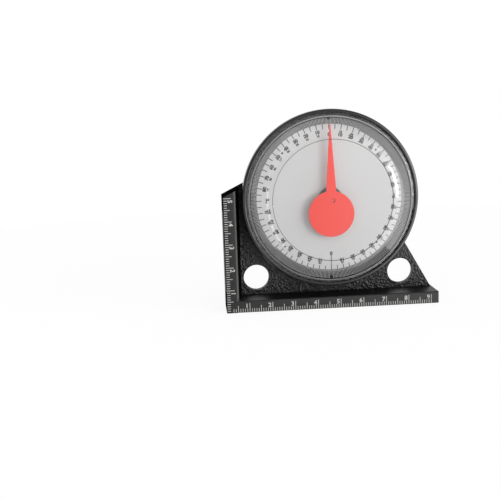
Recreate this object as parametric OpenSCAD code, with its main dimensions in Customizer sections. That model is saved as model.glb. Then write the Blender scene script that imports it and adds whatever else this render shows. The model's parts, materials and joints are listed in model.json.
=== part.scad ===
// Pendulum angle finder with ruler edges.
// X runs along the base, Z is up and the dial looks along -Y.
// The origin is at the middle of the whole depth, on the surface that the base stands on.
// Depths are measured forwards from the flat back of the body.

/* [Body] */
// Length of the base along its ruler edge
base_length = 93.3; // [86:0.1:120]
// Depth of the ruler bar and flange, from the back to the ruler faces
base_depth = 16; // [14.5:0.1:18]
// Height of the bottom ruler bar
bar_height = 5.2; // [4.6:0.1:7]
// Width of the left ruler flange's front face
flange_width = 5; // [4.6:0.1:7]
// Height of the left flange at its outer edge
flange_height = 50.4; // [40:0.1:54]
// Slope of the flange's cut end, in degrees
end_slope = 26; // [10:1:40]
// Slope of the plate's right edge, in degrees
side_slope = 60.5; // [56:0.5:64]
// How far the flange's inner wall leans out at its foot
wall_lean = 2.4; // [0.5:0.1:3]
// Thickness of the plate
plate_thickness = 3; // [2.4:0.1:3.6]
// Edge break on the outer edges of the ruler faces
edge_break = 0.35; // [0.1:0.05:0.6]
// Edge break between the flange's ruler face and its inner wall
inner_break = 0.6; // [0.2:0.1:1]
// Radius in the corner between bar and flange
corner_radius = 1.2; // [0.6:0.1:2]

/* [Hand holes] */
// Diameter of the two through holes
hole_diameter = 11.4; // [8:0.1:12]
// Distance of each hole's centre from the end of the base
hole_inset = 14.2; // [13.5:0.1:17]
// Height of the holes' centres above the bar
hole_rise = 7.5; // [6.4:0.1:8.5]

/* [Dial housing] */
// Gap between the ruler bar and the bezel
bezel_gap = 4.3; // [3:0.1:12]
// Outer radius of the drum behind the bezel
drum_radius = 37; // [36:0.1:40]
// Thickness of the drum's wall
drum_wall = 2.6; // [2.2:0.1:3.4]
// Depth from the back to the front of the dial floor
floor_front = 10.8; // [9.5:0.1:12]
// Thickness of the dial floor
floor_thickness = 1.6; // [1.2:0.1:2.2]
// Width of the shoulder outside the dial card
shoulder_width = 1.9; // [1.6:0.1:2.2]

/* [Dial card] */
// Thickness of the dial card
card_thickness = 0.6; // [0.4:0.1:1]

/* [Bezel] */
// Outer radius of the bezel beyond the drum
bezel_overhang = 1.3; // [0.9:0.1:2]
// Length of the bezel along the dial axis
bezel_length = 4.4; // [3.8:0.1:6]
// Width of the lip that holds the cover
lip_width = 0.4; // [0.3:0.05:0.6]
// Thickness of the lip
lip_thickness = 1; // [0.8:0.1:1.4]

/* [Clear cover] */
// Thickness of the cover's flange
lens_flange = 1.2; // [1:0.1:1.6]
// Wall thickness of the clear cover
lens_wall = 1.3; // [1.1:0.1:2]
// Height of the cover's front above its flange
lens_rise = 7.5; // [6.5:0.1:8.5]
// Reach of the cover's bent side, from the flat front out to its foot
lens_side_run = 9.65; // [9:0.05:11]
// Slope that the side bends to, in degrees from the front
lens_slope = 45; // [43:1:50]
// Width of the front's rim outside the shallow step
step_inset = 0.1; // [0.1:0.1:3]
// Depth of the shallow step
step_depth = 0.25; // [0.1:0.05:0.4]
// Radius of the gate mark in the middle of the cover
gate_radius = 0.9; // [0.5:0.1:1.5]
// Thickness of the dust seal
gasket_thickness = 0.4; // [0.3:0.05:0.6]

/* [Pointer] */
// Gap between the needle's tip and the cover's inner wall
tip_gap = 1.4; // [0.4:0.05:6]
// Width of the needle where it leaves the disc
needle_root = 4.5; // [2.5:0.1:5]
// Width of the needle's blunt tip
needle_tip = 0.4; // [0.2:0.1:0.8]
// Radius of the red disc
disc_radius = 9.9; // [8.5:0.1:12]
// Drop of the disc's centre below the pivot
disc_drop = 6.4; // [5:0.1:8]
// Thickness of the pointer
pointer_thickness = 0.8; // [0.6:0.1:1.2]
// Radius of the counterweight
weight_radius = 8; // [6:0.1:8.4]
// Thickness of the counterweight
weight_thickness = 1.4; // [1:0.1:1.7]

/* [Pivot] */
// Radius of the shaft
shaft_radius = 0.7; // [0.5:0.05:0.8]
// Running clearance of the shaft in its bushes
run_clearance = 0.05; // [0.02:0.01:0.1]
// Outer radius of the bushes
bush_radius = 1.6; // [1.3:0.05:2]
// Length of each bush
bush_length = 2; // [1.5:0.1:2.5]
// Radius of the post's stem
stem_radius = 3; // [2.6:0.1:3.5]
// Radius of the post's head
head_radius = 5.1; // [4.4:0.1:6]
// Thickness of the post's head
head_thickness = 1.2; // [0.8:0.1:1.5]
// Length of the post's stem behind the dial floor
stem_length = 3.6; // [3:0.1:4]
// Width of the post's nut across its flats
nut_flats = 9; // [8.5:0.1:12]
// Thickness of the post's nut
nut_thickness = 2; // [1.2:0.1:2.4]
// Radius of the pointer's hub
hub_radius = 2.2; // [1.6:0.1:2.4]
// Thickness of the thrust washers
washer_thickness = 0.3; // [0.2:0.05:0.4]
// Outer radius of the thrust washers
washer_radius = 1.5; // [1.2:0.1:2]
// Thickness of the retaining clip
clip_thickness = 0.4; // [0.3:0.05:0.5]
// Outer radius of the retaining clip
clip_radius = 1.7; // [1.4:0.1:2.2]

/* [Rear cover] */
// Width of the body's rear rim outside the rear cover
rear_rim = 4; // [3.6:0.1:7]
// Width of the ledge behind the rear cover
ledge_width = 1.2; // [0.8:0.1:1.8]
// Thickness of the rear cover
cover_thickness = 1.6; // [1.2:0.1:2.2]
// Number of screws
screw_count = 3; // [3:1:6]
// Distance of the screws from the rear cover's edge
screw_inset = 6; // [5.5:0.1:8]
// Radius of a screw's shank
shank_radius = 1; // [0.8:0.05:1.2]
// Radius of a screw's head
screw_head = 2; // [1.6:0.1:2.4]
// Length of a screw
screw_length = 6.5; // [5:0.1:7]
// Radius of the screw bosses
boss_radius = 3; // [2.4:0.1:4]

/* [Magnets] */
// Width of the magnetic strips
magnet_width = 9; // [6:0.1:11]
// Thickness of the magnetic strips
magnet_thickness = 2; // [1.2:0.1:2.4]
// Thickness of the steel backing strips
keeper_thickness = 0.8; // [0.4:0.1:1]
// Distance of the bottom strip from each end of the base
base_magnet_margin = 6.6; // [4:0.1:20]
// Height of the side strip above the bar
side_magnet_rise = 2.8; // [1:0.1:8]
// Distance of the side strip from the flange's upper end
side_magnet_margin = 6.4; // [2:0.1:12]
// Gap round the strips in their grooves
groove_gap = 0.1; // [0.05:0.01:0.2]

/* [Hidden] */
$fn = 128;
eps = 0.01;
// Slip between round pieces of one body
slip = 0.05;
// End play of the shaft at each washer
end_play = 0.05;
// Room that the body leaves round the bezel
bezel_clearance = 0.5;

lens_seat = floor_front + card_thickness + gasket_thickness;
lens_flange_front = lens_seat + lens_flange;
lens_front = lens_flange_front + lens_rise;
back = lens_front / 2;
inner_front = lens_front - lens_wall;
card_front = floor_front + card_thickness;
card_radius = drum_radius - shoulder_width - slip;
bezel_radius = drum_radius + bezel_overhang;
dial_height = bar_height + bezel_gap + bezel_radius;
bezel_front = lens_flange_front + lip_thickness;
bezel_back = bezel_front - bezel_length;
lens_flange_radius = drum_radius - slip;
lip_radius = drum_radius - lip_width;
lens_base_radius = lip_radius - 0.3;
head_front = card_front + head_thickness;
stem_back = floor_front - floor_thickness - stem_length;
hub_back = head_front + 2 * end_play + washer_thickness;
weight_gap = 2 * end_play + 0.25;
weight_back = head_front + weight_gap;
pointer_back = weight_back + weight_thickness;
pointer_front = pointer_back + pointer_thickness;
washer_bore = shaft_radius + run_clearance;
clip_front = stem_back - 2 * end_play - washer_thickness;
clip_groove = 0.2;
shaft_back = clip_front - clip_thickness - 0.6;
half_length = base_length / 2;
hole_offset = half_length - hole_inset;
hole_height = bar_height + hole_rise;
slant_foot = half_length - edge_break;
slant_reach = (dial_height - bar_height) / tan(side_slope);
magnet_depth = base_depth / 2;
base_magnet_length = base_length - 2 * base_magnet_margin;
side_magnet_height = bar_height + side_magnet_rise;
side_magnet_length = flange_height - side_magnet_margin - side_magnet_height;
strip_depth = magnet_thickness + keeper_thickness;
cavity_radius = drum_radius - drum_wall;
cover_radius = drum_radius - rear_rim;
ledge_radius = cover_radius + 2 * slip;
screw_circle = cover_radius - screw_inset;

// Side of the clear cover: a bend from the flat front, then a straight slope down to the foot.
brow_front = lens_flange_front + 1.1;
cover_foot = [lens_base_radius - 0.75, brow_front + 0.15];
lens_front_radius = cover_foot.x - lens_side_run;
side_drop = lens_front - cover_foot.y;
bend_radius = (lens_side_run * sin(lens_slope) - side_drop * cos(lens_slope)) / (1 - cos(lens_slope));
slope_wall = lens_wall / cos(lens_slope);
inner_radius = drum_radius - shoulder_width + 2 * slip;
inner_foot = inner_radius - 0.9;
needle_length = cover_foot.x + (cover_foot.y - pointer_front - slope_wall) / tan(lens_slope) - tip_gap;

// Stands a flat outline, drawn as seen from the front, up between two depths.
module forward(from, to) {
    translate([0, back - from, 0]) rotate([90, 0, 0]) linear_extrude(to - from) children();
}

// Puts children on the dial's axis, with their own Z forwards from a depth.
module on_axis(depth = 0) {
    translate([0, back - depth, dial_height]) rotate([90, 0, 0]) children();
}

module ring(outer, inner, from, to) {
    on_axis(from) difference() {
        cylinder(r = outer, h = to - from);
        translate([0, 0, -1]) cylinder(r = inner, h = to - from + 2);
    }
}

module plate_outline() {
    polygon([
        [-half_length, 0],
        [half_length, 0],
        [half_length, bar_height],
        [slant_foot, bar_height],
        [slant_foot - slant_reach, dial_height],
        [0, dial_height],
        [-half_length + dial_height, flange_height + dial_height * tan(end_slope)],
        [-half_length, flange_height]
    ]);
}

// The plate's outline cut off at the drum, whose disc closes it.
module body_outline() {
    difference() {
        plate_outline();
        translate([-drum_radius / 2, dial_height]) square([base_length, base_length]);
        translate([0, dial_height]) circle(r = drum_radius - drum_wall);
    }
}

module bar_profile() {
    polygon([
        [0, 0],
        [base_depth - edge_break, 0],
        [base_depth, edge_break],
        [base_depth, bar_height - edge_break],
        [base_depth - edge_break, bar_height],
        [0, bar_height]
    ]);
}

module ruler_bar() {
    translate([-half_length, back, 0]) rotate([90, 0, 90])
        mirror([1, 0, 0]) linear_extrude(base_length) bar_profile();
}

// The flange seen from above: its inner wall leans out towards the plate.
module flange_profile() {
    polygon([
        [0, 0],
        [flange_width + wall_lean, 0],
        [flange_width + wall_lean, plate_thickness],
        [flange_width, base_depth - inner_break],
        [flange_width - inner_break, base_depth],
        [edge_break, base_depth],
        [0, base_depth - edge_break]
    ]);
}

module ruler_flange() {
    intersection() {
        translate([-half_length, back, 0]) mirror([0, 1, 0])
            linear_extrude(flange_height + dial_height) flange_profile();
        forward(-1, base_depth + 1) plate_outline();
    }
}

module corner_fillet() {
    forward(plate_thickness - eps, base_depth - edge_break)
        translate([flange_width - half_length - eps, bar_height - eps]) difference() {
            square(corner_radius);
            translate([corner_radius, corner_radius]) circle(r = corner_radius, $fn = 48);
        }
}

module drum() {
    on_axis() rotate_extrude() polygon([
        [ledge_radius, 0],
        [drum_radius, 0],
        [drum_radius, card_front],
        [drum_radius - shoulder_width, card_front],
        [drum_radius - shoulder_width, floor_front],
        [stem_radius + slip, floor_front],
        [stem_radius + slip, floor_front - floor_thickness],
        [cavity_radius, floor_front - floor_thickness],
        [cavity_radius, cover_thickness + 2],
        [ledge_radius - ledge_width, cover_thickness + 1],
        [ledge_radius - ledge_width, cover_thickness],
        [ledge_radius, cover_thickness]
    ]);
}

module at_screws() {
    for (i = [0 : screw_count - 1]) rotate([0, 0, 90 + i * 360 / screw_count])
        translate([screw_circle, 0, 0]) children();
}

module screw_bosses() {
    on_axis(cover_thickness) at_screws() difference() {
        cylinder(r = boss_radius, h = floor_front - floor_thickness - cover_thickness + eps, $fn = 48);
        translate([0, 0, -1])
            cylinder(r = shank_radius + slip, h = screw_length - cover_thickness + 1.5, $fn = 48);
    }
}

module strip_grooves() {
    translate([0, back - magnet_depth, strip_depth / 2 - 1])
        cube([base_magnet_length + 2 * groove_gap, magnet_width + 2 * groove_gap, strip_depth + 2], center = true);
    translate([strip_depth / 2 - 1 - half_length, back - magnet_depth, side_magnet_height + side_magnet_length / 2])
        cube([strip_depth + 2, magnet_width + 2 * groove_gap, side_magnet_length + 2 * groove_gap], center = true);
}

module body_frame() {
    color([0.10, 0.10, 0.11]) difference() {
        union() {
            forward(0, plate_thickness) body_outline();
            ruler_bar();
            ruler_flange();
            corner_fillet();
            drum();
            screw_bosses();
        }
        on_axis(-1) cylinder(r = ledge_radius, h = cover_thickness + 1);
        ring(bezel_radius + bezel_clearance, drum_radius, bezel_back - bezel_clearance, base_depth + 1);
        for (side = [-1, 1]) forward(-1, plate_thickness + 1)
            translate([side * hole_offset, hole_height]) circle(d = hole_diameter);
        strip_grooves();
    }
}

module bezel_ring() {
    color([0.13, 0.13, 0.14]) on_axis() rotate_extrude() polygon([
        [drum_radius + slip, bezel_back],
        [bezel_radius - 0.25, bezel_back],
        [bezel_radius, bezel_back + 0.25],
        [bezel_radius, bezel_front - 0.75],
        [bezel_radius - 0.22, bezel_front - 0.22],
        [bezel_radius - 0.75, bezel_front],
        [lip_radius + 0.35, bezel_front - 0.1],
        [lip_radius, bezel_front - 0.4],
        [lip_radius, lens_flange_front],
        [drum_radius + slip, lens_flange_front]
    ]);
}

module lens_gasket() {
    color([0.16, 0.16, 0.17])
        ring(lens_flange_radius, drum_radius - shoulder_width + slip, card_front, lens_seat);
}

// The bend of the cover's side, as points (radius, depth), this far inside its outer face.
function cover_bend(inset, steps = 10) = [for (k = [0:steps]) let (turn = lens_slope * k / steps)
    [lens_front_radius + (bend_radius - inset) * sin(turn),
     lens_front - inset - (bend_radius - inset) * (1 - cos(turn))]];

module lens_cover() {
    inner_slope_foot = cover_foot.y - (inner_foot - cover_foot.x) * tan(lens_slope) - slope_wall;
    outside = cover_bend(0);
    color([0.85, 0.92, 0.95, 0.35]) on_axis() difference() {
        rotate_extrude($fn = 180) polygon(concat([
            [inner_radius, lens_seat],
            [lens_flange_radius, lens_seat],
            [lens_flange_radius, lens_flange_front],
            [lens_base_radius, lens_flange_front],
            [lens_base_radius, brow_front - 0.35],
            [lens_base_radius - 0.35, brow_front],
            cover_foot
        ], [for (k = [len(outside) - 1:-1:0]) outside[k]], [
            [0, lens_front],
            [0, inner_front]
        ], cover_bend(lens_wall), [
            [inner_foot, inner_slope_foot]
        ]));
        translate([0, 0, lens_front - step_depth]) cylinder(r = lens_front_radius - step_inset, h = step_depth + 1);
        translate([0, 0, lens_front - 2 * step_depth]) cylinder(r = gate_radius, h = 1, $fn = 32);
    }
}

module dial_card() {
    color([0.94, 0.94, 0.93]) ring(card_radius, stem_radius + slip, floor_front, card_front);
}

module bearing_post() {
    color([0.09, 0.09, 0.10]) on_axis() difference() {
        union() {
            translate([0, 0, stem_back]) cylinder(r = stem_radius, h = card_front - stem_back);
            translate([0, 0, card_front]) cylinder(r = head_radius, h = head_thickness);
        }
        translate([0, 0, stem_back - 1]) cylinder(r = bush_radius + slip, h = head_front - stem_back + 2);
    }
}

module post_nut() {
    nut_back = floor_front - floor_thickness - nut_thickness;
    color([0.72, 0.60, 0.30]) on_axis(nut_back) difference() {
        cylinder(d = nut_flats / cos(30), h = nut_thickness, $fn = 6);
        translate([0, 0, -1]) cylinder(r = stem_radius + slip, h = nut_thickness + 2);
    }
}

module bush(from) {
    color([0.78, 0.64, 0.32]) ring(bush_radius, shaft_radius + run_clearance, from, from + bush_length);
}

module front_bush() {
    bush(head_front - bush_length);
}

module rear_bush() {
    bush(stem_back);
}

module pivot_shaft() {
    color([0.75, 0.76, 0.78]) on_axis() difference() {
        translate([0, 0, shaft_back]) cylinder(r = shaft_radius, h = pointer_back - shaft_back);
        ring_groove();
    }
}

// The groove that the retaining clip sits in.
module ring_groove() {
    translate([0, 0, clip_front - clip_thickness]) difference() {
        cylinder(r = shaft_radius + 1, h = clip_thickness);
        translate([0, 0, -1]) cylinder(r = shaft_radius - clip_groove, h = clip_thickness + 2);
    }
}

module washer(from) {
    color([0.80, 0.80, 0.78]) ring(washer_radius, washer_bore, from, from + washer_thickness);
}

module front_washer() {
    washer(head_front + end_play);
}

module rear_washer() {
    washer(stem_back - end_play - washer_thickness);
}

module retaining_clip() {
    seat = shaft_radius - clip_groove + 0.02;
    color([0.55, 0.56, 0.58]) on_axis(clip_front - clip_thickness + 0.02) difference() {
        cylinder(r = clip_radius, h = clip_thickness - 0.04);
        translate([0, 0, -1]) cylinder(r = seat, h = clip_thickness + 2);
        translate([-seat * 0.8, -clip_radius - 1, -1]) cube([seat * 1.6, clip_radius + 1, clip_thickness + 2]);
    }
}

module pointer_hub() {
    color([0.78, 0.64, 0.32]) ring(hub_radius, shaft_radius + slip / 2, hub_back, pointer_back);
}

module pointer_needle() {
    disc_top = disc_radius - disc_drop;
    color([0.96, 0.22, 0.16]) forward(pointer_back, pointer_front) translate([0, dial_height]) {
        translate([0, -disc_drop]) circle(r = disc_radius);
        polygon([
            [-needle_root / 2, disc_top - 1],
            [needle_root / 2, disc_top - 1],
            [needle_tip / 2, needle_length],
            [-needle_tip / 2, needle_length]
        ]);
    }
}

module counterweight() {
    color([0.45, 0.46, 0.48]) on_axis(weight_back) difference() {
        translate([0, -disc_drop, 0]) cylinder(r = weight_radius, h = weight_thickness);
        translate([0, 0, -1]) cylinder(r = hub_radius + 0.2, h = weight_thickness + 2);
    }
}

module rear_cover() {
    color([0.12, 0.12, 0.13]) on_axis() difference() {
        cylinder(r = cover_radius, h = cover_thickness);
        at_screws() rotate_extrude($fn = 48) polygon([
            [0, -1],
            [screw_head + slip, -1],
            [screw_head + slip, 0.2],
            [shank_radius + 0.1, 0.2 + screw_head - shank_radius],
            [shank_radius + 0.1, cover_thickness + 1],
            [0, cover_thickness + 1]
        ]);
    }
}

module rear_cover_screws() {
    color([0.62, 0.63, 0.65]) on_axis() at_screws() difference() {
        rotate_extrude($fn = 48) polygon([
            [0, 0.1],
            [screw_head, 0.1],
            [screw_head, 0.2],
            [shank_radius, 0.2 + screw_head - shank_radius],
            [shank_radius, screw_length - 0.8],
            [0.2, screw_length],
            [0, screw_length]
        ]);
        for (turn = [0, 90]) rotate([0, 0, turn])
            translate([0, 0, 0.3]) cube([screw_head * 1.2, 0.5, 0.8], center = true);
    }
}

module base_strip(from, to, shade) {
    color(shade) translate([-base_magnet_length / 2, back - magnet_depth - magnet_width / 2, from])
        cube([base_magnet_length, magnet_width, to - from]);
}

module side_strip(from, to, shade) {
    color(shade) translate([from - half_length, back - magnet_depth - magnet_width / 2, side_magnet_height])
        cube([to - from, magnet_width, side_magnet_length]);
}

module base_magnet() {
    base_strip(0, magnet_thickness, [0.20, 0.19, 0.18]);
}

module base_keeper() {
    base_strip(magnet_thickness, strip_depth, [0.66, 0.67, 0.69]);
}

module side_magnet() {
    side_strip(0, magnet_thickness, [0.20, 0.19, 0.18]);
}

module side_keeper() {
    side_strip(magnet_thickness, strip_depth, [0.66, 0.67, 0.69]);
}

body_frame();
bezel_ring();
lens_gasket();
lens_cover();
dial_card();
bearing_post();
post_nut();
front_bush();
rear_bush();
pivot_shaft();
front_washer();
rear_washer();
retaining_clip();
pointer_hub();
pointer_needle();
counterweight();
rear_cover();
rear_cover_screws();
base_magnet();
base_keeper();
side_magnet();
side_keeper();
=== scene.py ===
"""The looks of a pendulum angle finder, built round its packed construction frame."""
import json
from math import cos, pi, radians, sin, tan

import bmesh
import bpy
from mathutils import Matrix, Vector


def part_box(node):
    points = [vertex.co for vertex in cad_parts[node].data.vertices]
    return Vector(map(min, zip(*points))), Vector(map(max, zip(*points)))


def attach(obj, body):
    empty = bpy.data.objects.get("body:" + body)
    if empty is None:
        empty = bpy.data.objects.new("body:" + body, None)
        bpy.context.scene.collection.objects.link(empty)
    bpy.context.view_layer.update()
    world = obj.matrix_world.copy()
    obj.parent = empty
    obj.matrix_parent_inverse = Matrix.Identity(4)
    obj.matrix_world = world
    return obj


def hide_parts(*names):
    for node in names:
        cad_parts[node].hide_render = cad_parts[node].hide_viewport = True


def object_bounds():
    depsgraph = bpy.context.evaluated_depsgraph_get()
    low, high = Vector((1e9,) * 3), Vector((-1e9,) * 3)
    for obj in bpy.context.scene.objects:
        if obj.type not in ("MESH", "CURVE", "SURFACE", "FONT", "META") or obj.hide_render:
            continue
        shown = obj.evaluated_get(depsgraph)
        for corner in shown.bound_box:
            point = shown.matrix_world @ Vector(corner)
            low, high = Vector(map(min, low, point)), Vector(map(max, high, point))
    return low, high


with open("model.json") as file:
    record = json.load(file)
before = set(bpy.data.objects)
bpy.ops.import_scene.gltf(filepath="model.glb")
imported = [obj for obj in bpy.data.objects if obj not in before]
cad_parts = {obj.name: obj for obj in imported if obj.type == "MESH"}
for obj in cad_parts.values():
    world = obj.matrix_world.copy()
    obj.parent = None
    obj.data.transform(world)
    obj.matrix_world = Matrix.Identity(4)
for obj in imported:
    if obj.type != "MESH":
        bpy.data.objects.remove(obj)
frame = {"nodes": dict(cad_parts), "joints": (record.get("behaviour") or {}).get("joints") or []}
cad_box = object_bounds()

# Camera
# A short telephoto about 40 cm in front of the dial, a little above it and to its left.
# It was held slightly turned, so the base runs uphill to the right in the picture.
MM = 0.001
SENSOR_WIDTH = 36
FOCAL_LENGTH = 63.35
VIEW_SHIFT = (-0.0012, 0.0011)
CAMERA_PLACE = (-59.6 * MM, -377.1 * MM, 91.7 * MM)
CAMERA_TURN = (80.17, 2.01, -4.06)

scene = bpy.context.scene
camera_data = bpy.data.cameras.new("camera")
camera_data.sensor_width = SENSOR_WIDTH
camera_data.lens = FOCAL_LENGTH
camera_data.shift_x, camera_data.shift_y = VIEW_SHIFT
camera_data.clip_start = 10 * MM
camera = bpy.data.objects.new("camera", camera_data)
camera.location = CAMERA_PLACE
camera.rotation_euler = [radians(turn) for turn in CAMERA_TURN]
scene.collection.objects.link(camera)
scene.camera = camera
scene.view_settings.view_transform = "Standard"

# Studio
# White paper under and behind the object, in a dim room with a wide soft window at the right. The eye and
# clear plastic see plain white all round. Gloss sees white only on the paper's side, and looks through the
# floor, whose edge would otherwise show as a line in the cover.
ROOM_LIGHT = 0.44
WINDOW_PLACE = (0.76, -0.64, -0.12)
WINDOW_LIGHT = 4.0
WINDOW_EDGE = (radians(47), radians(18))
PAPER_SIDE = (0.2, 0.98, 0)
PAPER_FADE = (0.1, 0.45)
FLOOR_RADIUS = 0.36
FLOOR_STEPS = 96
FLOOR_GLOW = 0.8
FLOOR_WHITE = 1.1
FLOOR_HEX = "f4f4f4"
# The softbox fills in from above and the low lamp picks out the grain. The strip is below the floor's level,
# so only gloss sees it, as the thin arc of light along the cover's bend.
LAMPS = {
    "ceiling_softbox": {"place": (-0.3, -0.9, 1.0), "size": 1.8, "watts": 3.5},
    "low_lamp": {"place": (0.78, -0.95, 0.06), "size": 0.3, "watts": 2.0},
    "left_strip": {"place": (-0.43, -0.86, -0.25), "size": 0.18, "tall": 0.66, "watts": 0.75},
}


def linear(hex_code):
    """Turns an sRGB hex colour into the linear one that a shader takes."""
    shares = [int(hex_code[i:i + 2], 16) / 255 for i in (0, 2, 4)]
    return [s / 12.92 if s <= 0.04045 else ((s + 0.055) / 1.055) ** 2.4 for s in shares] + [1]


def add_node(tree, kind, inputs=None, **settings):
    """Adds a node with its settings. inputs gives each socket a value, or another socket to link."""
    node = tree.nodes.new(kind)
    for name, value in settings.items():
        setattr(node, name, value)
    for key, value in (inputs or {}).items():
        if isinstance(value, bpy.types.NodeSocket):
            tree.links.new(value, node.inputs[key])
        else:
            node.inputs[key].default_value = value
    return node


def new_material(name):
    """An empty material, as a pair of the material and its node tree."""
    material = bpy.data.materials.new(name)
    material.use_nodes = True
    material.node_tree.nodes.clear()
    return material, material.node_tree


world = bpy.data.worlds.new("white_room")
world.use_nodes = True
tree = world.node_tree
tree.nodes.clear()
seen = add_node(tree, "ShaderNodeLightPath").outputs
looked_at = add_node(tree, "ShaderNodeNewGeometry").outputs["Incoming"]
towards_paper = add_node(tree, "ShaderNodeVectorMath", {0: looked_at, 1: -Vector(PAPER_SIDE).normalized()},
                         operation="DOT_PRODUCT")
is_paper = add_node(tree, "ShaderNodeMapRange",
                    {"Value": towards_paper.outputs["Value"], "From Min": PAPER_FADE[0],
                     "From Max": PAPER_FADE[1]}, interpolation_type="SMOOTHSTEP")
paper_in_gloss = add_node(tree, "ShaderNodeMath", {0: seen["Is Glossy Ray"], 1: is_paper.outputs[0]},
                          operation="MULTIPLY")
seen_or_gloss = add_node(tree, "ShaderNodeMath", {0: seen["Is Camera Ray"], 1: paper_in_gloss.outputs[0]},
                         operation="MAXIMUM")
seen_at_all = add_node(tree, "ShaderNodeMath", {0: seen_or_gloss.outputs[0], 1: seen["Is Transmission Ray"]},
                       operation="MAXIMUM")
from_window = add_node(tree, "ShaderNodeVectorMath", {0: looked_at, 1: -Vector(WINDOW_PLACE).normalized()},
                       operation="DOT_PRODUCT")
room = add_node(tree, "ShaderNodeMapRange",
                {"Value": from_window.outputs["Value"], "From Min": cos(WINDOW_EDGE[0]),
                 "From Max": cos(WINDOW_EDGE[1]), "To Min": ROOM_LIGHT, "To Max": WINDOW_LIGHT},
                interpolation_type="SMOOTHSTEP")
brightness = add_node(tree, "ShaderNodeMapRange",
                      {"Value": seen_at_all.outputs[0], "To Min": room.outputs[0], "To Max": 1.0})
background = add_node(tree, "ShaderNodeBackground",
                      {"Color": (1, 1, 1, 1), "Strength": brightness.outputs[0]})
add_node(tree, "ShaderNodeOutputWorld", {"Surface": background.outputs[0]})
scene.world = world

for lamp_name, lamp in LAMPS.items():
    lamp_data = bpy.data.lights.new(lamp_name, "AREA")
    lamp_data.shape = "RECTANGLE"
    lamp_data.size = lamp["size"]
    lamp_data.size_y = lamp.get("tall", lamp["size"])
    lamp_data.energy = lamp["watts"]
    lamp_object = bpy.data.objects.new(lamp_name, lamp_data)
    lamp_object.location = lamp["place"]
    lamp_object.rotation_euler = (-Vector(lamp["place"])).to_track_quat("-Z", "Y").to_euler()
    scene.collection.objects.link(lamp_object)

sweep_paper, tree = new_material("white_paper_sweep")
paper = add_node(tree, "ShaderNodeBsdfDiffuse", {"Color": linear(FLOOR_HEX)})
glow = add_node(tree, "ShaderNodeEmission", {"Color": (1, 1, 1, 1), "Strength": FLOOR_WHITE})
seen = add_node(tree, "ShaderNodeLightPath").outputs
seen_at_all = add_node(tree, "ShaderNodeMath", {0: seen["Is Camera Ray"], 1: seen["Is Transmission Ray"]},
                       operation="MAXIMUM")
share = add_node(tree, "ShaderNodeMath", {0: seen_at_all.outputs[0], 1: FLOOR_GLOW}, operation="MULTIPLY")
paper_look = add_node(tree, "ShaderNodeMixShader",
                      {0: share.outputs[0], 1: paper.outputs[0], 2: glow.outputs[0]})
see_through = add_node(tree, "ShaderNodeBsdfTransparent")
floor_look = add_node(tree, "ShaderNodeMixShader",
                      {0: seen["Is Glossy Ray"], 1: paper_look.outputs[0], 2: see_through.outputs[0]})
add_node(tree, "ShaderNodeOutputMaterial", {"Surface": floor_look.outputs[0]})

floor_mesh = bpy.data.meshes.new("floor")
floor_shape = bmesh.new()
bmesh.ops.create_circle(floor_shape, cap_ends=True, segments=FLOOR_STEPS, radius=FLOOR_RADIUS)
floor_shape.to_mesh(floor_mesh)
floor_shape.free()
floor_mesh.materials.append(sweep_paper)
floor = bpy.data.objects.new("floor", floor_mesh)
scene.collection.objects.link(floor)

# Moulded body
# One injection moulding in black ABS: the plate, the drum of the dial, the bottom bar and the side flange.
# The mould is spark-eroded to a leather grain on the plate and finer on the ruler faces, and every
# edge has a small radius that catches a line of light.
BODY_HEX = "0f0f10"
BODY_EDGE = 0.32 * MM
BODY_SHINE = 0.4
GRAZING = (0.6, 0.86)
BODY_DULLNESS = (0.34, 0.46)
WEAR_PATCH = 6 * MM
ABS_IOR = 1.53
PLATE_GRAIN = 0.85 * MM
PLATE_GRAIN_DEPTH = 0.4 * MM
PLATE_GRAIN_FROM = (5 * MM, 7 * MM)
FINE_GRAIN = 0.28 * MM
FINE_GRAIN_DEPTH = 0.06 * MM
RULER_FACE_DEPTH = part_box("body_frame")[0].y
FLANGE_WIDTH = 5.0 * MM
FLANGE_BREAK = 0.6 * MM
FLANGE_EASE = (0.4 * MM, 0.22 * MM)
FLANGE_SLOPE = radians(26)
NEAR = 0.05 * MM
MERGE = 0.002 * MM
FLAT_WITHIN = radians(0.4)
ROUNDED_ABOVE = radians(30)
SHARP_ABOVE = radians(40)
EDGE_STEPS = 2


def ease_flange(shape):
    """Moves the rear line of the broken edge along the inside of the side flange, which widens and flattens
    the break so that it faces the window. The flange's inner face goes with it, so the flange is slightly
    wider in front. The line's upper end stays on the slanted top."""
    edge_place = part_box("body_frame")[0].x + FLANGE_WIDTH
    over_edge = [corner for corner in shape.verts if abs(corner.co.x - edge_place) < NEAR]
    highest = max(corner.co.z for corner in over_edge)
    for corner in over_edge:
        if abs(corner.co.y - RULER_FACE_DEPTH - FLANGE_BREAK) < NEAR:
            if corner.co.z > highest - NEAR:
                corner.co.z += FLANGE_EASE[0] * tan(FLANGE_SLOPE)
            corner.co.x += FLANGE_EASE[0]
            corner.co.y -= FLANGE_EASE[1]


def moulded_copy(node, name, edge_radius):
    """A copy of a construction node with its corners rounded, as a mould leaves them."""
    mesh = frame["nodes"][node].data.copy()
    mesh.materials.clear()
    shape = bmesh.new()
    shape.from_mesh(mesh)
    bmesh.ops.remove_doubles(shape, verts=shape.verts, dist=MERGE)
    bmesh.ops.dissolve_limit(shape, angle_limit=FLAT_WITHIN, verts=shape.verts, edges=shape.edges)
    if node == "body_frame":
        ease_flange(shape)
    shape.to_mesh(mesh)
    shape.free()
    piece = bpy.data.objects.new(name, mesh)
    scene.collection.objects.link(piece)
    rounding = piece.modifiers.new("rounding", "BEVEL")
    rounding.width = edge_radius
    rounding.segments = EDGE_STEPS
    rounding.limit_method = "ANGLE"
    rounding.angle_limit = ROUNDED_ABOVE
    rounding.use_clamp_overlap = True
    return smoothed(plain_mesh(piece))


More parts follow.
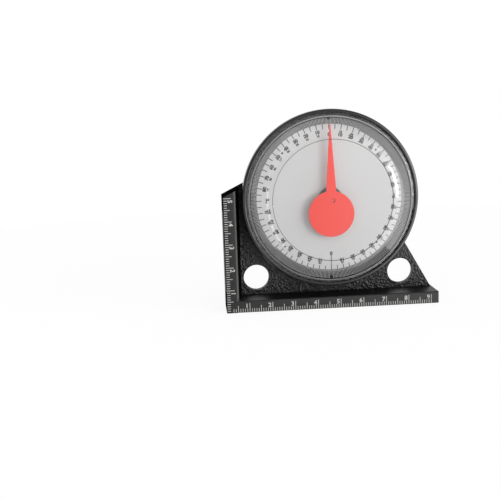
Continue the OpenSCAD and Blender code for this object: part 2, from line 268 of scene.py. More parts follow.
def plain_mesh(piece):
    """Turns a piece into the plain mesh that its modifiers make of it."""
    bpy.context.view_layer.update()
    made = bpy.data.meshes.new_from_object(piece.evaluated_get(bpy.context.evaluated_depsgraph_get()))
    piece.modifiers.clear()
    piece.data = made
    made.name = piece.name
    return piece


def smoothed(piece):
    """Shades a piece smooth but for its sharp edges, and keeps large faces flat beside small roundings."""
    piece.data.shade_smooth()
    piece.data.set_sharp_from_angle(angle=SHARP_ABOVE)
    flatness = piece.modifiers.new("flatness", "WEIGHTED_NORMAL")
    flatness.weight = 100
    flatness.keep_sharp = True
    return plain_mesh(piece)


def grain(tree, size):
    """A leather pattern with lumps of a real size and broader swells under them, as a height socket."""
    place = add_node(tree, "ShaderNodeTexCoord").outputs["Object"]
    cells = add_node(tree, "ShaderNodeTexVoronoi", {"Vector": place, "Scale": 1 / size, "Randomness": 1.0},
                     feature="SMOOTH_F1")
    swells = add_node(tree, "ShaderNodeTexNoise", {"Vector": place, "Scale": 0.6 / size, "Detail": 2.0})
    return add_node(tree, "ShaderNodeMath", {0: cells.outputs["Distance"], 1: swells.outputs["Fac"]},
                    operation="ADD").outputs[0]


def textured_abs():
    """Black ABS from a spark-eroded mould: dull, with coarse grain on the plate, finer on the front faces.
    Where it is seen nearly edge on, the grain's hollows swallow its shine."""
    material, tree = new_material("textured_black_abs")
    place = add_node(tree, "ShaderNodeTexCoord").outputs["Object"]
    depth = add_node(tree, "ShaderNodeSeparateXYZ", {"Vector": place}).outputs["Y"]
    on_plate = add_node(tree, "ShaderNodeMapRange",
                        {"Value": depth, "From Min": RULER_FACE_DEPTH + PLATE_GRAIN_FROM[0],
                         "From Max": RULER_FACE_DEPTH + PLATE_GRAIN_FROM[1]})
    fine = add_node(tree, "ShaderNodeBump", {"Strength": 0.6, "Distance": FINE_GRAIN_DEPTH,
                                             "Height": grain(tree, FINE_GRAIN)})
    coarse = add_node(tree, "ShaderNodeBump",
                      {"Strength": on_plate.outputs[0], "Distance": PLATE_GRAIN_DEPTH,
                       "Height": grain(tree, PLATE_GRAIN), "Normal": fine.outputs[0]})
    wear = add_node(tree, "ShaderNodeTexNoise", {"Vector": place, "Scale": 1 / WEAR_PATCH, "Detail": 4.0})
    dullness = add_node(tree, "ShaderNodeMapRange",
                        {"Value": wear.outputs["Fac"], "To Min": BODY_DULLNESS[0],
                         "To Max": BODY_DULLNESS[1]})
    edge_on = add_node(tree, "ShaderNodeLayerWeight", {"Blend": 0.5}).outputs["Facing"]
    shine = add_node(tree, "ShaderNodeMapRange",
                     {"Value": edge_on, "From Min": GRAZING[0], "From Max": GRAZING[1],
                      "To Min": BODY_SHINE, "To Max": 0.0})
    look = add_node(tree, "ShaderNodeBsdfPrincipled",
                    {"Base Color": linear(BODY_HEX), "Roughness": dullness.outputs[0], "IOR": ABS_IOR,
                     "Specular IOR Level": shine.outputs[0], "Normal": coarse.outputs[0]})
    add_node(tree, "ShaderNodeOutputMaterial", {"Surface": look.outputs[0]})
    return material


black_abs = textured_abs()
body = moulded_copy("body_frame", "moulded_body", BODY_EDGE)
body.data.materials.append(black_abs)
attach(body, "housing")
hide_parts("body_frame")

# Rulers
# White ink, pad-printed on the two front faces: a mark at each millimetre, longer at the fifth and tenth.
# Both rulers start at the outer corner, and the side one reads upwards with its numbers lying down.
INK_HEX = "d6d6d2"
THIN_INK_HEX = "a9a9a6"
INK_PATCH = 0.5 * MM
INK_FILM = 0.02 * MM
CENTIMETRE = 10 * MM
MARK_WIDTH = 0.26 * MM
RULER_EDGE = 0.3 * MM
BASE_MARKS = {"First": 3, "Marks": 88, "Short": 1.5 * MM, "Half": 2.8 * MM, "Long": 3.9 * MM}
SIDE_MARKS = {"First": 1, "Marks": 50, "Short": 1.45 * MM, "Half": 2.6 * MM, "Long": 3.3 * MM}
BASE_NUMBERS = range(1, 10)
SIDE_NUMBERS = range(1, 6)
NUMBER_HEIGHT = 1.9 * MM
NUMBER_GAP = 0.6 * MM
NUMBER_WEIGHT = 0.025
FIGURE_SHARE = 0.7
BASE_NUMBER_RISE = 2.9 * MM
SIDE_NUMBER_REACH = 2.95 * MM


def node_group(name, inputs):
    """A Geometry Nodes tree with named inputs, each a pair of socket kind and default."""
    tree = bpy.data.node_groups.new(name, "GeometryNodeTree")
    tree.interface.new_socket("Geometry", in_out="OUTPUT", socket_type="NodeSocketGeometry")
    for label, (kind, default) in inputs.items():
        socket = tree.interface.new_socket(label, in_out="INPUT", socket_type="NodeSocket" + kind)
        if default is not None:
            socket.default_value = default
    return tree, add_node(tree, "NodeGroupInput").outputs


def stamp(tree, points, size, turn, ink):
    """Puts a thin block of ink on each point, turned and sized, and closes the tree."""
    block = add_node(tree, "GeometryNodeMeshCube", {"Size": (1, 1, 1)})
    marks = add_node(tree, "GeometryNodeInstanceOnPoints",
                     {"Points": points, "Instance": block.outputs["Mesh"], "Rotation": turn, "Scale": size})
    real = add_node(tree, "GeometryNodeRealizeInstances", {"Geometry": marks.outputs[0]})
    inked = add_node(tree, "GeometryNodeSetMaterial", {"Geometry": real.outputs[0], "Material": ink})
    add_node(tree, "NodeGroupOutput", {"Geometry": inked.outputs[0]})


def ruler_tree():
    """Marks one millimetre apart along X, standing up in Z, with every fifth and tenth one longer."""
    tree, given = node_group("ruler_marks", {
        "First": ("Int", 0), "Marks": ("Int", 10), "Pitch": ("Float", MM), "Width": ("Float", MARK_WIDTH),
        "Film": ("Float", INK_FILM), "Short": ("Float", MM), "Half": ("Float", 2 * MM),
        "Long": ("Float", 3 * MM), "Ink": ("Material", None)})
    index = add_node(tree, "GeometryNodeInputIndex").outputs[0]
    number = add_node(tree, "ShaderNodeMath", {0: index, 1: given["First"]}, operation="ADD").outputs[0]
    length = given["Short"]
    for every, longer in ((5.0, "Half"), (10.0, "Long")):
        rest = add_node(tree, "ShaderNodeMath", {0: number, 1: every}, operation="MODULO").outputs[0]
        is_due = add_node(tree, "ShaderNodeMath", {0: rest, 1: 0.0}, operation="COMPARE").outputs[0]
        length = add_node(tree, "GeometryNodeSwitch",
                          {"Switch": is_due, "False": length, "True": given[longer]},
                          input_type="FLOAT").outputs[0]
    along = add_node(tree, "ShaderNodeMath", {0: number, 1: given["Pitch"]}, operation="MULTIPLY").outputs[0]
    up = add_node(tree, "ShaderNodeMath", {0: length, 1: 0.5}, operation="MULTIPLY").outputs[0]
    place = add_node(tree, "ShaderNodeCombineXYZ", {"X": along, "Z": up})
    points = add_node(tree, "GeometryNodePoints", {"Count": given["Marks"], "Position": place.outputs[0]})
    size = add_node(tree, "ShaderNodeCombineXYZ", {"X": given["Width"], "Y": given["Film"], "Z": length})
    stamp(tree, points.outputs[0], size.outputs[0], (0, 0, 0), given["Ink"])
    return tree


def grown(name, tree, place, **values):
    """The plain mesh that a tree makes with these inputs, moved to its place."""
    piece = bpy.data.objects.new(name, bpy.data.meshes.new(name))
    scene.collection.objects.link(piece)
    growth = piece.modifiers.new("growth", "NODES")
    growth.node_group = tree
    for socket in tree.interface.items_tree:
        if socket.in_out == "INPUT" and socket.name in values:
            growth[socket.identifier] = values[socket.name]
    plain_mesh(piece)
    piece.data.transform(place)
    return piece


def number_outline(text, height, align, weight):
    """A number as flat outlines of print that stand up and face the reader, with strokes made bolder."""
    curve = bpy.data.curves.new("number", "FONT")
    curve.body = text
    curve.size = height / FIGURE_SHARE
    curve.offset = weight * curve.size
    curve.align_x = align
    curve.align_y = "CENTER"
    curve.extrude = INK_FILM / 2
    curve.resolution_u = 3
    writing = bpy.data.objects.new("number", curve)
    scene.collection.objects.link(writing)
    bpy.context.view_layer.update()
    mesh = bpy.data.meshes.new_from_object(writing.evaluated_get(bpy.context.evaluated_depsgraph_get()))
    bpy.data.objects.remove(writing)
    mesh.transform(Matrix.Rotation(pi / 2, 4, "X"))
    return mesh


def numbers(name, entries, ink, weight):
    """One piece of print from entries of text, height, alignment and place."""
    shape = bmesh.new()
    for text, height, align, place in entries:
        mesh = number_outline(text, height, align, weight)
        mesh.transform(place)
        shape.from_mesh(mesh)
        bpy.data.meshes.remove(mesh)
    made = bpy.data.meshes.new(name)
    shape.to_mesh(made)
    shape.free()
    made.materials.clear()
    made.materials.append(ink)
    for face in made.polygons:
        face.material_index = 0
    piece = bpy.data.objects.new(name, made)
    scene.collection.objects.link(piece)
    return piece


def white_print():
    """Pad-printed white ink, slightly thin, so the black shows through a little unevenly."""
    material, tree = new_material("white_pad_print")
    place = add_node(tree, "ShaderNodeTexCoord").outputs["Object"]
    cover = add_node(tree, "ShaderNodeTexNoise", {"Vector": place, "Scale": 1 / INK_PATCH, "Detail": 2.0})
    thinness = add_node(tree, "ShaderNodeMix", {"Factor": cover.outputs["Fac"], "A": linear(INK_HEX),
                                                "B": linear(THIN_INK_HEX)}, data_type="RGBA")
    look = add_node(tree, "ShaderNodeBsdfPrincipled",
                    {"Base Color": thinness.outputs["Result"], "Roughness": 0.6})
    add_node(tree, "ShaderNodeOutputMaterial", {"Surface": look.outputs[0]})
    return material


white_ink = white_print()
body_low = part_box("body_frame")[0]
ruler_marks = ruler_tree()
on_base = Matrix.Translation((body_low.x, RULER_FACE_DEPTH, RULER_EDGE))
on_side = (Matrix.Translation((body_low.x + RULER_EDGE, RULER_FACE_DEPTH, 0))
           @ Matrix.Rotation(-pi / 2, 4, "Y") @ Matrix.Scale(-1, 4, (0, 0, 1)))
base_ruler = grown("base_ruler_marks", ruler_marks, on_base, Ink=white_ink, **BASE_MARKS)
side_ruler = grown("side_ruler_marks", ruler_marks, on_side, Ink=white_ink, **SIDE_MARKS)
base_writing = numbers("base_ruler_numbers", [
    (str(cm), NUMBER_HEIGHT, "RIGHT",
     Matrix.Translation((body_low.x + cm * CENTIMETRE - NUMBER_GAP, RULER_FACE_DEPTH, BASE_NUMBER_RISE)))
    for cm in BASE_NUMBERS], white_ink, NUMBER_WEIGHT)
side_writing = numbers("side_ruler_numbers", [
    (str(cm), NUMBER_HEIGHT, "LEFT",
     Matrix.Translation((body_low.x + SIDE_NUMBER_REACH, RULER_FACE_DEPTH, cm * CENTIMETRE - NUMBER_GAP))
     @ Matrix.Rotation(pi / 2, 4, "Y"))
    for cm in SIDE_NUMBERS], white_ink, NUMBER_WEIGHT)
for print_piece in (base_ruler, side_ruler, base_writing, side_writing):
    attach(print_piece, "housing")

# Dial card
# A white styrene disc with the degree scale in black: single degrees as a dense outer ring, every fifth one
# longer, two rows of numbers inside it and an index at the top and the bottom. The rows change places in the
# upper left quarter, and the smaller figures give the slope in per cent, or the rest of the right angle.
JOINT = frame["joints"][0]["pos_m"]
CARD_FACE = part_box("dial_card")[0].y
dial_centre = Matrix.Translation((JOINT[0], CARD_FACE, JOINT[2]))
DEGREE_RING = (34.8 * MM, 31.5 * MM)
FIFTH_RING = (31.6 * MM, 29.8 * MM)
INDEX_RING = (35.0 * MM, 33.4 * MM)
DEGREE_WIDTH = 0.41 * MM
FIFTH_WIDTH = 0.34 * MM
INDEX_WIDTH = 1.0 * MM
DEGREE_HEIGHT = 1.4 * MM
SLOPE_HEIGHT = 0.9 * MM
UPPER_LEFT_ROWS = (28.75 * MM, 27.15 * MM)
OTHER_ROWS = (27.45 * MM, 28.8 * MM)
UPPER_LEFT_FROM = 270
LAST_PER_CENT = 50
ROW_SKEW = 0.35 * MM
DOT_RING = 28.6 * MM
DIAL_WEIGHT = 0.07
DOT_SIZE = 0.8 * MM
PLUMB_LINE = (31.0 * MM, 24.9 * MM)
PLUMB_WIDTH = 0.32 * MM
PLUMB_ZERO = (24.1 * MM, 1.5 * MM)
DIAL_INK_HEX = "101012"
PALE_INK_HEX = "1c1c1f"
DIAL_INK_PATCH = 0.4 * MM
CARD_HEX = "d6d6d6"
CARD_SHADE_HEX = "d0d0d0"
CARD_CLOUD = 9 * MM


def round_scale_tree():
    """Marks round a circle that faces the reader, between an outer and an inner radius."""
    tree, given = node_group("round_scale_marks", {
        "Marks": ("Int", 72), "Outer": ("Float", 34 * MM), "Inner": ("Float", 30 * MM),
        "Width": ("Float", 0.3 * MM), "Film": ("Float", INK_FILM), "Ink": ("Material", None)})
    index = add_node(tree, "GeometryNodeInputIndex").outputs[0]
    pitch = add_node(tree, "ShaderNodeMath", {0: 2 * pi, 1: given["Marks"]}, operation="DIVIDE").outputs[0]
    turn = add_node(tree, "ShaderNodeMath", {0: index, 1: pitch}, operation="MULTIPLY").outputs[0]
    length = add_node(tree, "ShaderNodeMath", {0: given["Outer"], 1: given["Inner"]},
                      operation="SUBTRACT").outputs[0]
    total = add_node(tree, "ShaderNodeMath", {0: given["Outer"], 1: given["Inner"]},
                     operation="ADD").outputs[0]
    middle = add_node(tree, "ShaderNodeMath", {0: total, 1: 0.5}, operation="MULTIPLY").outputs[0]
    across = add_node(tree, "ShaderNodeMath", {0: turn}, operation="SINE").outputs[0]
    up = add_node(tree, "ShaderNodeMath", {0: turn}, operation="COSINE").outputs[0]
    outwards = add_node(tree, "ShaderNodeCombineXYZ", {"X": across, "Z": up}).outputs[0]
    place = add_node(tree, "ShaderNodeVectorMath", {0: outwards, "Scale": middle}, operation="SCALE")
    points = add_node(tree, "GeometryNodePoints", {"Count": given["Marks"], "Position": place.outputs[0]})
    tilt = add_node(tree, "ShaderNodeCombineXYZ", {"Y": turn})
    rotation = add_node(tree, "FunctionNodeEulerToRotation", {"Euler": tilt.outputs[0]})
    size = add_node(tree, "ShaderNodeCombineXYZ", {"X": given["Width"], "Y": given["Film"], "Z": length})
    stamp(tree, points.outputs[0], size.outputs[0], rotation.outputs[0], given["Ink"])
    return tree


def dial_print():
    """Black offset ink on the card, matt."""
    material, tree = new_material("black_offset_ink")
    place = add_node(tree, "ShaderNodeTexCoord").outputs["Object"]
    cover = add_node(tree, "ShaderNodeTexNoise", {"Vector": place, "Scale": 1 / DIAL_INK_PATCH})
    shade = add_node(tree, "ShaderNodeMix", {"Factor": cover.outputs["Fac"], "A": linear(DIAL_INK_HEX),
                                             "B": linear(PALE_INK_HEX)}, data_type="RGBA")
    look = add_node(tree, "ShaderNodeBsdfPrincipled",
                    {"Base Color": shade.outputs["Result"], "Roughness": 0.55})
    add_node(tree, "ShaderNodeOutputMaterial", {"Surface": look.outputs[0]})
    return material


def white_card():
    """White styrene sheet: nearly even, with faint clouds in its white."""
    material, tree = new_material("white_styrene_card")
    place = add_node(tree, "ShaderNodeTexCoord").outputs["Object"]
    cloud = add_node(tree, "ShaderNodeTexNoise", {"Vector": place, "Scale": 1 / CARD_CLOUD, "Detail": 3.0})
    shade = add_node(tree, "ShaderNodeMix", {"Factor": cloud.outputs["Fac"], "A": linear(CARD_HEX),
                                             "B": linear(CARD_SHADE_HEX)}, data_type="RGBA")
    look = add_node(tree, "ShaderNodeBsdfPrincipled",
                    {"Base Color": shade.outputs["Result"], "Roughness": 0.5, "IOR": 1.55})
    add_node(tree, "ShaderNodeOutputMaterial", {"Surface": look.outputs[0]})
    return material


def refinish(node, material):
    """Gives a construction node that stays in sight its real finish."""
    mesh = frame["nodes"][node].data
    mesh.materials.clear()
    mesh.materials.append(material)


def around(angle, radius):
    """The place of print on the dial at an angle in degrees from the top, with its head outwards."""
    return dial_centre @ Matrix.Rotation(radians(angle), 4, "Y") @ Matrix.Translation((0, 0, radius))


def reading(angle):
    """The degrees printed at an angle from the top: 0 at top and bottom, 90 at the sides."""
    return 90 - abs(90 - angle % 180)


refinish("dial_card", white_card())
dial_ink = dial_print()
round_scale = round_scale_tree()
degree_marks = grown("degree_marks", round_scale, dial_centre, Ink=dial_ink, Marks=360,
                     Outer=DEGREE_RING[0], Inner=DEGREE_RING[1], Width=DEGREE_WIDTH)
fifth_marks = grown("fifth_degree_marks", round_scale, dial_centre, Ink=dial_ink, Marks=72,
                    Outer=FIFTH_RING[0], Inner=FIFTH_RING[1], Width=FIFTH_WIDTH)
index_marks = grown("index_marks", round_scale, dial_centre, Ink=dial_ink, Marks=2,
                    Outer=INDEX_RING[0], Inner=INDEX_RING[1], Width=INDEX_WIDTH)
dial_entries = []
for angle in range(0, 360, 10):
    degrees = reading(angle)
    degree_row, slope_row = UPPER_LEFT_ROWS if angle > UPPER_LEFT_FROM else OTHER_ROWS
    skew = ROW_SKEW * sin(radians(angle)) if angle <= UPPER_LEFT_FROM else 0
    row, height = PLUMB_ZERO if angle == 180 else (degree_row + skew, DEGREE_HEIGHT)
    dial_entries.append((str(degrees), height, "CENTER", around(angle, row)))
    if degrees % 90:
        slope = round(100 * tan(radians(degrees))) if degrees <= LAST_PER_CENT else 90 - degrees
        dial_entries.append((str(slope), SLOPE_HEIGHT, "CENTER", around(angle, slope_row + skew)))
dial_writing = numbers("dial_numbers", dial_entries, dial_ink, DIAL_WEIGHT)
forty_fives = grown("forty_five_dots", round_scale, dial_centre @ Matrix.Rotation(radians(45), 4, "Y"),
                    Ink=dial_ink, Marks=4, Outer=DOT_RING + DOT_SIZE / 2, Inner=DOT_RING - DOT_SIZE / 2,
                    Width=DOT_SIZE)
plumb_line = grown("plumb_line", round_scale, dial_centre @ Matrix.Rotation(pi, 4, "Y"), Ink=dial_ink,
                   Marks=1, Outer=PLUMB_LINE[0], Inner=PLUMB_LINE[1], Width=PLUMB_WIDTH)
for print_piece in (degree_marks, fifth_marks, index_marks, plumb_line, dial_writing, forty_fives):
    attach(print_piece, "housing")

# Bearing and pendulum
# A black acetal post through the dial carries two brass bushes. The steel shaft turns in them with its
# washers and clip, and holds the brass hub, the steel weight and the red pointer.
RED_HEX = "ff2a0c"
RED_SHINE = 0.2
ACETAL_HEX = "121214"
BRASS_HEX = "c8a45a"
STEEL_HEX = "b9bbbf"
POINTER_EDGE = 0.18 * MM
SHINE_CLOUD = 1.5 * MM
SHINE_SPREAD = 0.04
TOOL_MARK = 0.8 * MM
TOOL_MARK_DEPTH = 0.01 * MM


def smooth_plastic(name, hex_code, roughness, ior, shine=0.5):
    """Plastic from a polished mould, with a faint unevenness in its shine."""
    material, tree = new_material(name)
    place = add_node(tree, "ShaderNodeTexCoord").outputs["Object"]
    cloud = add_node(tree, "ShaderNodeTexNoise", {"Vector": place, "Scale": 1 / SHINE_CLOUD, "Detail": 3.0})
    dullness = add_node(tree, "ShaderNodeMapRange",
                        {"Value": cloud.outputs["Fac"], "To Min": roughness - SHINE_SPREAD,
                         "To Max": roughness + SHINE_SPREAD})
    look = add_node(tree, "ShaderNodeBsdfPrincipled",
                    {"Base Color": linear(hex_code), "Roughness": dullness.outputs[0], "IOR": ior,
                     "Specular IOR Level": shine})
    add_node(tree, "ShaderNodeOutputMaterial", {"Surface": look.outputs[0]})
    return material


def turned_metal(name, hex_code, roughness):
    """Metal turned on a lathe: rings of tool marks round the dial's axis, drawn coarse enough to show."""
    material, tree = new_material(name)
    place = add_node(tree, "ShaderNodeTexCoord").outputs["Object"]
    centred = add_node(tree, "ShaderNodeMapping", {"Vector": place, "Location": (-JOINT[0], 0, -JOINT[2])})
    rings = add_node(tree, "ShaderNodeTexWave", {"Vector": centred.outputs[0], "Scale": 1 / TOOL_MARK},
                     wave_type="RINGS", rings_direction="Y")
    tooling = add_node(tree, "ShaderNodeBump",
                       {"Strength": 0.2, "Distance": TOOL_MARK_DEPTH, "Height": rings.outputs["Fac"]})
    look = add_node(tree, "ShaderNodeBsdfPrincipled", {"Base Color": linear(hex_code), "Metallic": 1.0,
                                                       "Roughness": roughness, "Normal": tooling.outputs[0]})
    add_node(tree, "ShaderNodeOutputMaterial", {"Surface": look.outputs[0]})
    return material


black_acetal = smooth_plastic("black_acetal", ACETAL_HEX, roughness=0.32, ior=1.48)
pointer_plastic = smooth_plastic("red_styrene", RED_HEX, roughness=0.3, ior=1.57, shine=RED_SHINE)
turned_brass = turned_metal("turned_brass", BRASS_HEX, roughness=0.28)
bright_steel = turned_metal("bright_steel", STEEL_HEX, roughness=0.26)
finishes = {
    "bearing_post": black_acetal,
    "post_nut": turned_brass,
    "front_bush": turned_brass,
    "rear_bush": turned_brass,
    "pointer_hub": turned_brass,
    "pivot_shaft": bright_steel,
    "front_washer": bright_steel,
    "rear_washer": bright_steel,
    "retaining_clip": bright_steel,
    "counterweight": bright_steel,
}
for node, finish in finishes.items():
    refinish(node, finish)

pointer = moulded_copy("pointer_needle", "red_pointer", POINTER_EDGE)
pointer.data.materials.append(pointer_plastic)
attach(pointer, "pendulum")
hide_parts("pointer_needle")

# Clear cover
# A water-clear polystyrene dome: a flange under the snap ring, a short brow, a side that curves in to a
# flat front, and on the front a shallow recess and the mark of the mould's gate in the middle. The side's
# last stretch is left matt by the mould. The steps of the recess and the gate are painted dull grey, as
# painted shade for the dark lines that they show.
CLEAR_IOR = 1.58
CLEAR_HEX = "fbfbfb"
PASSING_HEX = "f6f6f6"
FROSTED_HEX = "c4c4c4"
STEP_SHADE_HEX = "5a5a5c"
CLEAR_WAVE = 14 * MM
CLEAR_WAVE_DEPTH = 0.05 * MM
FROST_CLOUD = 4 * MM
CLEAR_SHARE = (0.5, 0.6)
COVER_STEPS = 256
BEND_STEPS = 12
BACK = cad_box[1][1]
COVER_FLAT = 25.9 * MM
COVER_FRONT = 20.5 * MM
COVER_FOOT = (35.5 * MM, 14.3 * MM)
COVER_SLOPE = radians(45)
COVER_WALL = 1.3 * MM
MATT_FOOT = 34.95 * MM
FLANGE = {"inner": 35.2 * MM, "outer": 36.95 * MM, "back": 11.8 * MM, "front": 13.0 * MM}
BROW = (36.3 * MM, 14.1 * MM)
BEAD = (35.85 * MM, 14.25 * MM)
STEP_DEPTH = 0.25 * MM
STEP_WIDTH = 0.2 * MM
GATE_RADIUS = 0.9 * MM
GATE_WALL = 0.2 * MM
SMALL_ROUND = 0.05 * MM
AXIS_GAP = 0.002 * MM
WELD = 0.0005 * MM
BROW_SLACK = 0.02 * MM
STEP_SLACK = 0.03 * MM


def cover_side(inset):
    """The cover's side from its flat front to its foot: a bend, then a straight slope. With an inset it is
    the same line inside the wall."""
    wide = COVER_FOOT[0] - COVER_FLAT
    high = COVER_FRONT - COVER_FOOT[1]
    bend = (wide * sin(COVER_SLOPE) - high * cos(COVER_SLOPE)) / (1 - cos(COVER_SLOPE)) - inset
    for k in range(BEND_STEPS + 1):
        turn = COVER_SLOPE * k / BEND_STEPS
        yield (COVER_FLAT + bend * sin(turn), COVER_FRONT - inset - bend * (1 - cos(turn)), 0)
    drop = inset * tan(COVER_SLOPE / 2)
    if not inset:
        yield (MATT_FOOT, COVER_FOOT[1] + (COVER_FOOT[0] - MATT_FOOT) * tan(COVER_SLOPE), 0)
    yield (COVER_FOOT[0] - inset, COVER_FOOT[1] - drop, SMALL_ROUND)


def rounded(corners, steps=3):
    """The points of a profile whose corners each carry their radius: a corner is (radius from the axis,
    depth, rounding)."""
    points = []
    for i, (out, depth, rounding) in enumerate(corners):
        here = Vector((out, depth))
        if not rounding or i in (0, len(corners) - 1):
            points.append(here)
            continue
        before = (Vector(corners[i - 1][:2]) - here).normalized()
        after = (Vector(corners[i + 1][:2]) - here).normalized()
        start, end = here + before * rounding, here + after * rounding
        for k in range(steps + 1):
            t = k / steps
            points.append(start * (1 - t) ** 2 + here * 2 * t * (1 - t) + end * t ** 2)
    return points


def turned(name, profile):
    """A closed profile of points, each a radius from the dial's axis and a depth from the back, turned round
    that axis."""
    shape = bmesh.new()
    rows = []
    for k in range(COVER_STEPS):
        turn = 2 * pi * k / COVER_STEPS
        row = []
        for out, depth in profile:
            place = (JOINT[0] + out * sin(turn), BACK - depth, JOINT[2] + out * cos(turn))
            row.append(shape.verts.new(place))
        rows.append(row)
    count = len(profile)
    for k in range(COVER_STEPS):
        here, following = rows[k], rows[(k + 1) % COVER_STEPS]
        for i in range(count):
            j = (i + 1) % count
            shape.faces.new((here[i], here[j], following[j], following[i]))
    bmesh.ops.remove_doubles(shape, verts=shape.verts, dist=WELD)
    bmesh.ops.recalc_face_normals(shape, faces=shape.faces)
    made = bpy.data.meshes.new(name)
    shape.to_mesh(made)
    shape.free()
    piece = bpy.data.objects.new(name, made)
    scene.collection.objects.link(piece)
    return smoothed(piece)


def clear_styrene():
    """Clear polystyrene: polished, with the faintest waviness, and it lets the lamps through to the dial."""
    material, tree = new_material("clear_polystyrene")
    place = add_node(tree, "ShaderNodeTexCoord").outputs["Object"]
    waves = add_node(tree, "ShaderNodeTexNoise", {"Vector": place, "Scale": 1 / CLEAR_WAVE, "Detail": 1.0})
    flow = add_node(tree, "ShaderNodeBump",
                    {"Strength": 0.15, "Distance": CLEAR_WAVE_DEPTH, "Height": waves.outputs["Fac"]})
    clear = add_node(tree, "ShaderNodeBsdfPrincipled",
                     {"Base Color": linear(CLEAR_HEX), "Roughness": 0.0, "IOR": CLEAR_IOR,
                      "Transmission Weight": 1.0, "Normal": flow.outputs[0]})
    passing = add_node(tree, "ShaderNodeBsdfTransparent", {"Color": linear(PASSING_HEX)})
    ray = add_node(tree, "ShaderNodeLightPath").outputs
    light = add_node(tree, "ShaderNodeMath", {0: ray["Is Shadow Ray"], 1: ray["Is Diffuse Ray"]},
                     operation="MAXIMUM")
    look = add_node(tree, "ShaderNodeMixShader",
                    {0: light.outputs[0], 1: clear.outputs[0], 2: passing.outputs[0]})
    add_node(tree, "ShaderNodeOutputMaterial", {"Surface": look.outputs[0]})
    return material


def frosted_styrene():
    """The same styrene where the mould left it matt, so light led along the wall comes out grey there."""
    material, tree = new_material("frosted_polystyrene")
    place = add_node(tree, "ShaderNodeTexCoord").outputs["Object"]
    cloud = add_node(tree, "ShaderNodeTexNoise", {"Vector": place, "Scale": 1 / FROST_CLOUD, "Detail": 2.0})
    share = add_node(tree, "ShaderNodeMapRange",
                     {"Value": cloud.outputs["Fac"], "To Min": CLEAR_SHARE[0], "To Max": CLEAR_SHARE[1]})
    look = add_node(tree, "ShaderNodeBsdfPrincipled",
                    {"Base Color": linear(FROSTED_HEX), "Roughness": 0.45, "IOR": CLEAR_IOR,
                     "Transmission Weight": share.outputs[0]})
    add_node(tree, "ShaderNodeOutputMaterial", {"Surface": look.outputs[0]})
    return material


cover_profile = rounded([
    (FLANGE["inner"], FLANGE["back"], 0), (FLANGE["outer"], FLANGE["back"], SMALL_ROUND),
    (FLANGE["outer"], FLANGE["front"], SMALL_ROUND), (BROW[0], FLANGE["front"], 0.12 * MM),
    (*BROW, 0.3 * MM), (BEAD[0], BROW[1], 0.03 * MM), (*BEAD, 0.12 * MM),
    *reversed(list(cover_side(0))),
    (COVER_FLAT - STEP_WIDTH, COVER_FRONT - STEP_DEPTH, SMALL_ROUND),
    (GATE_RADIUS, COVER_FRONT - STEP_DEPTH, SMALL_ROUND),
    (GATE_RADIUS - GATE_WALL, COVER_FRONT - 2 * STEP_DEPTH, SMALL_ROUND),
    (AXIS_GAP, COVER_FRONT - 2 * STEP_DEPTH, 0), (AXIS_GAP, COVER_FRONT - COVER_WALL, 0),
    *cover_side(COVER_WALL), (COVER_FOOT[0] - COVER_WALL, FLANGE["front"], 0),
])
clear_cover = turned("clear_cover", cover_profile)
clear_cover.data.materials.append(clear_styrene())
clear_cover.data.materials.append(frosted_styrene())
# Painted shade: a dull grey on the steps of the recess and the gate stands in for the dark lines that the
# clear steps show.
clear_cover.data.materials.append(smooth_plastic("painted_step_shade", STEP_SHADE_HEX, roughness=0.9, ior=1.4))
for face in clear_cover.data.polygons:
    out = (Vector((face.center.x, face.center.z)) - Vector((JOINT[0], JOINT[2]))).length
    depth = BACK - face.center.y
    if MATT_FOOT < out < COVER_FOOT[0] + SMALL_ROUND and depth > BROW[1] - BROW_SLACK:
        face.material_index = 1
    # Faces in the steps of the recess and the gate take the painted shade.
    in_step = COVER_FLAT - STEP_WIDTH - STEP_SLACK < out < COVER_FLAT
    in_gate = GATE_RADIUS - GATE_WALL < out < GATE_RADIUS
    if (in_step or in_gate) and depth > COVER_FRONT - COVER_WALL / 2:
        face.material_index = 2
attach(clear_cover, "housing")
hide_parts("lens_cover")

# Seal and snap ring
# A thin black foam seal lies under the cover's flange. The ring over it is black ABS from a polished mould,
# pressed over the drum until its lip holds the flange down.
RING_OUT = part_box("bezel_ring")[1].x - JOINT[0]
RING_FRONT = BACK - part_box("bezel_ring")[0].y
RING_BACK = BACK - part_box("bezel_ring")[1].y
LIP_RADIUS = 36.6 * MM
LIP_BACK = FLANGE["front"]
RING_BORE = 37.05 * MM
RING_HEX = "131315"
FOAM_HEX = "141414"

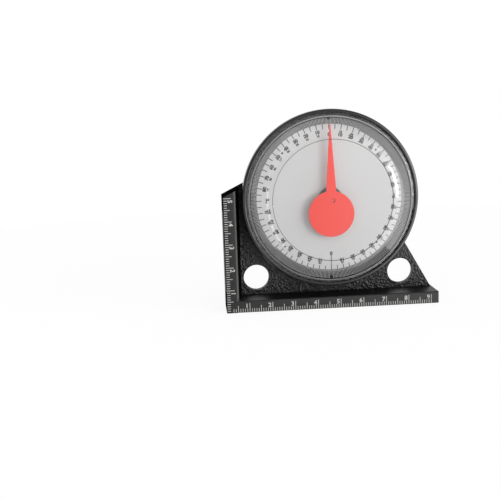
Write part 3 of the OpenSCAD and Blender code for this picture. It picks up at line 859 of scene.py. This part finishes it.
ring_plastic = smooth_plastic("polished_black_abs", RING_HEX, roughness=0.1, ior=ABS_IOR)
ring_profile = rounded([
    (RING_BORE, RING_BACK, 0), (RING_OUT, RING_BACK, 0.25 * MM), (RING_OUT, RING_FRONT, 0.95 * MM),
    (LIP_RADIUS, RING_FRONT, 0.6 * MM), (LIP_RADIUS, LIP_BACK, SMALL_ROUND),
    (RING_BORE, LIP_BACK, SMALL_ROUND),
], steps=6)
snap_ring = turned("snap_ring", ring_profile)
snap_ring.data.materials.append(ring_plastic)
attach(snap_ring, "housing")
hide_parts("bezel_ring")
refinish("lens_gasket", smooth_plastic("black_seal_foam", FOAM_HEX, roughness=0.8, ior=1.45))

# Back
# A flat disc in the body's textured ABS closes the hollow behind the dial. Three countersunk steel screws
# hold it to the body.
REAR_COVER_EDGE = 0.12 * MM

back_cover = moulded_copy("rear_cover", "moulded_rear_cover", REAR_COVER_EDGE)
back_cover.data.materials.append(black_abs)
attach(back_cover, "housing")
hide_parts("rear_cover")
refinish("rear_cover_screws", bright_steel)

# Magnets
# Strips of magnetised ferrite rubber pressed into the base and the side flange, each on a steel backing
# strip that closes its field behind.
FERRITE_HEX = "35312e"
DRAG_LINE = 2 * MM
DRAG_DEPTH = 0.02 * MM


def magnet_rubber():
    """Ferrite in rubber: dark brown-grey, dull, with drag lines of extrusion drawn coarse enough to show."""
    material, tree = new_material("ferrite_rubber")
    place = add_node(tree, "ShaderNodeTexCoord").outputs["Object"]
    drag = add_node(tree, "ShaderNodeTexWave", {"Vector": place, "Scale": 1 / DRAG_LINE, "Distortion": 1.5},
                    bands_direction="Y")
    lines = add_node(tree, "ShaderNodeBump",
                     {"Strength": 0.3, "Distance": DRAG_DEPTH, "Height": drag.outputs["Fac"]})
    look = add_node(tree, "ShaderNodeBsdfPrincipled", {"Base Color": linear(FERRITE_HEX), "Roughness": 0.62,
                                                       "Normal": lines.outputs[0]})
    add_node(tree, "ShaderNodeOutputMaterial", {"Surface": look.outputs[0]})
    return material


strip_rubber = magnet_rubber()
for side in ("base", "side"):
    refinish(side + "_magnet", strip_rubber)
    refinish(side + "_keeper", bright_steel)
